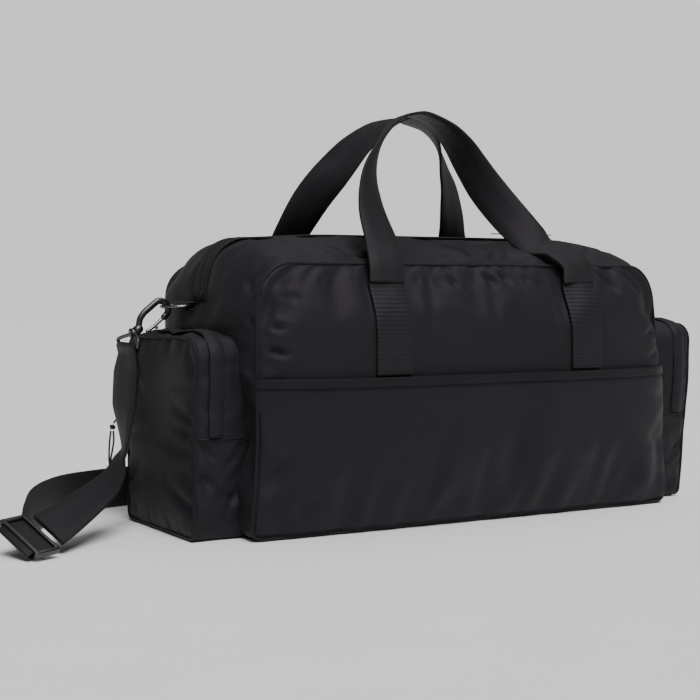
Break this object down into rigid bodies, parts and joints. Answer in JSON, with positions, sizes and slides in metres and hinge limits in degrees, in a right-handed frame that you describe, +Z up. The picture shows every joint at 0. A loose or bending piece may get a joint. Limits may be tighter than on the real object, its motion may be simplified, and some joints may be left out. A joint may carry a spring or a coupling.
{
  "type": "duffel bag",
  "caption": "Soft rectangular duffel bag with zipped top, end pockets, webbing carrying handles and a clip-on adjustable shoulder strap.",
  "frame": {"origin": "centre of the main body's footprint, on the underside of the bottom panel", "axes": "+Z up, +X along the bag towards its right end as seen from the front, -Y towards the front face with the open flat pocket"},
  "size_m": [0.8295, 0.3057, 0.4254],
  "materials": {
    "nylon": "matte woven nylon",
    "piping": "satin piping",
    "webbing": "ribbed webbing",
    "zip_tape": "matte tape",
    "zip_teeth": "satin coil",
    "gunmetal": "dark satin plate",
    "board": "matte board",
    "cord": "braided cord"
  },
  "bodies": {
    "bag": {"front_panel": "nylon", "back_panel": "nylon", "front_piping": "piping", "back_piping": "piping", "front_pocket_panel": "nylon", "front_pocket_hem": "webbing", "bottom_panel": "nylon", "base_board": "board", "end_panel_left": "nylon", "end_panel_right": "nylon", "top_panel_front": "nylon", "top_panel_back": "nylon", "main_zipper_tape": "zip_tape", "main_zipper_teeth": "zip_teeth", "end_pocket_gusset_left": "nylon", "end_pocket_piping_left": "piping", "end_pocket_face_left": "nylon", "end_pocket_zipper_left": "zip_tape", "d_ring_tab_left": "webbing", "handle_leg_front_left": "webbing", "handle_leg_back_left": "webbing", "end_pocket_gusset_right": "nylon", "end_pocket_piping_right": "piping", "end_pocket_face_right": "nylon", "end_pocket_zipper_right": "zip_tape", "d_ring_tab_right": "webbing", "handle_leg_front_right": "webbing", "handle_leg_back_right": "webbing"},
    "front_handle": {"handle_front": "webbing"},
    "back_handle": {"handle_back": "webbing"},
    "zip_slider_a": {"main_zip_slider_a": "gunmetal"},
    "zip_pull_a": {"main_zip_pull_a": "gunmetal"},
    "zip_slider_b": {"main_zip_slider_b": "gunmetal"},
    "zip_pull_b": {"main_zip_pull_b": "gunmetal"},
    "pocket_slider_left": {"end_pocket_slider_left": "gunmetal", "end_pocket_cord_left": "cord", "end_pocket_cord_loop_left": "cord", "end_pocket_knot_left": "cord"},
    "ring_left": {"d_ring_left": "gunmetal"},
    "pocket_slider_right": {"end_pocket_slider_right": "gunmetal", "end_pocket_cord_right": "cord", "end_pocket_cord_loop_right": "cord", "end_pocket_knot_right": "cord"},
    "ring_right": {"d_ring_right": "gunmetal"},
    "strap": {"strap_adjusting_end": "webbing", "strap_long_run": "webbing", "strap_fixed_end": "webbing", "strap_loop_left": "gunmetal", "strap_loop_right": "gunmetal"},
    "adjuster": {"strap_adjuster": "gunmetal"},
    "hook_left": {"snap_hook_left": "gunmetal"},
    "gate_left": {"hook_gate_left": "gunmetal"},
    "hook_right": {"snap_hook_right": "gunmetal"},
    "gate_right": {"hook_gate_right": "gunmetal"}
  },
  "joints": [
    {"name": "front_handle_swing", "type": "hinge", "parent": "bag", "child": "front_handle", "pos_m": [0, -0.12144, 0.246], "axis": [1, 0, 0], "range_deg": [0, 160]},
    {"name": "back_handle_swing", "type": "hinge", "parent": "bag", "child": "back_handle", "pos_m": [0, 0.12144, 0.246], "axis": [-1, 0, 0], "range_deg": [0, 160]},
    {"name": "main_zip_travel_a", "type": "slide", "parent": "bag", "child": "zip_slider_a", "axis": [-1, 0, 0], "range_m": [0, 0.32]},
    {"name": "main_zip_pull_tilt_a", "type": "hinge", "parent": "zip_slider_a", "child": "zip_pull_a", "pos_m": [0.1236, 0, 0.3003], "axis": [0, 1, 0], "range_deg": [0, 135]},
    {"name": "main_zip_travel_b", "type": "slide", "parent": "bag", "child": "zip_slider_b", "axis": [1, 0, 0], "range_m": [0, 0.05]},
    {"name": "main_zip_pull_tilt_b", "type": "hinge", "parent": "zip_slider_b", "child": "zip_pull_b", "pos_m": [0.1464, 0, 0.3003], "axis": [0, -1, 0], "range_deg": [0, 135]},
    {"name": "end_pocket_zip_travel_left", "type": "slide", "parent": "bag", "child": "pocket_slider_left", "axis": [0, 0, 1], "range_m": [0, 0.055]},
    {"name": "d_ring_tilt_left", "type": "hinge", "parent": "bag", "child": "ring_left", "pos_m": [-0.2745, 0.02, 0.2215], "axis": [0, -1, 0], "range_deg": [0, 8]},
    {"name": "end_pocket_zip_travel_right", "type": "slide", "parent": "bag", "child": "pocket_slider_right", "axis": [0, 0, 1], "range_m": [0, 0.055]},
    {"name": "d_ring_tilt_right", "type": "hinge", "parent": "bag", "child": "ring_right", "pos_m": [0.2745, 0.02, 0.2215], "axis": [0, 1, 0], "range_deg": [0, 8]},
    {"name": "strap_swing", "type": "hinge", "parent": "bag", "child": "strap", "pos_m": [0, 0.02, 0.2207], "axis": [1, 0, 0], "range_deg": [0, 10]},
    {"name": "adjuster_travel", "type": "slide", "parent": "strap", "child": "adjuster", "axis": [0.9298, 0.3648, 0.0501], "range_m": [0, 0.006]},
    {"name": "hook_swivel_left", "type": "hinge", "parent": "strap", "child": "hook_left", "pos_m": [-0.3225, 0.02, 0.1985], "axis": [0.7689, 0, 0.6393], "range_deg": [-12, 12]},
    {"name": "hook_gate_open_left", "type": "hinge", "parent": "hook_left", "child": "gate_left", "pos_m": [-0.31251, 0.02, 0.19666], "axis": [0, -1, 0], "range_deg": [0, 25], "stiffness_Nm_per_rad": 0.02},
    {"name": "hook_swivel_right", "type": "hinge", "parent": "strap", "child": "hook_right", "pos_m": [0.3225, 0.02, 0.1985], "axis": [-0.7689, 0, 0.6393], "range_deg": [-12, 12]},
    {"name": "hook_gate_open_right", "type": "hinge", "parent": "hook_right", "child": "gate_right", "pos_m": [0.31251, 0.02, 0.19666], "axis": [0, 1, 0], "range_deg": [0, 25], "stiffness_Nm_per_rad": 0.02}
  ]
}
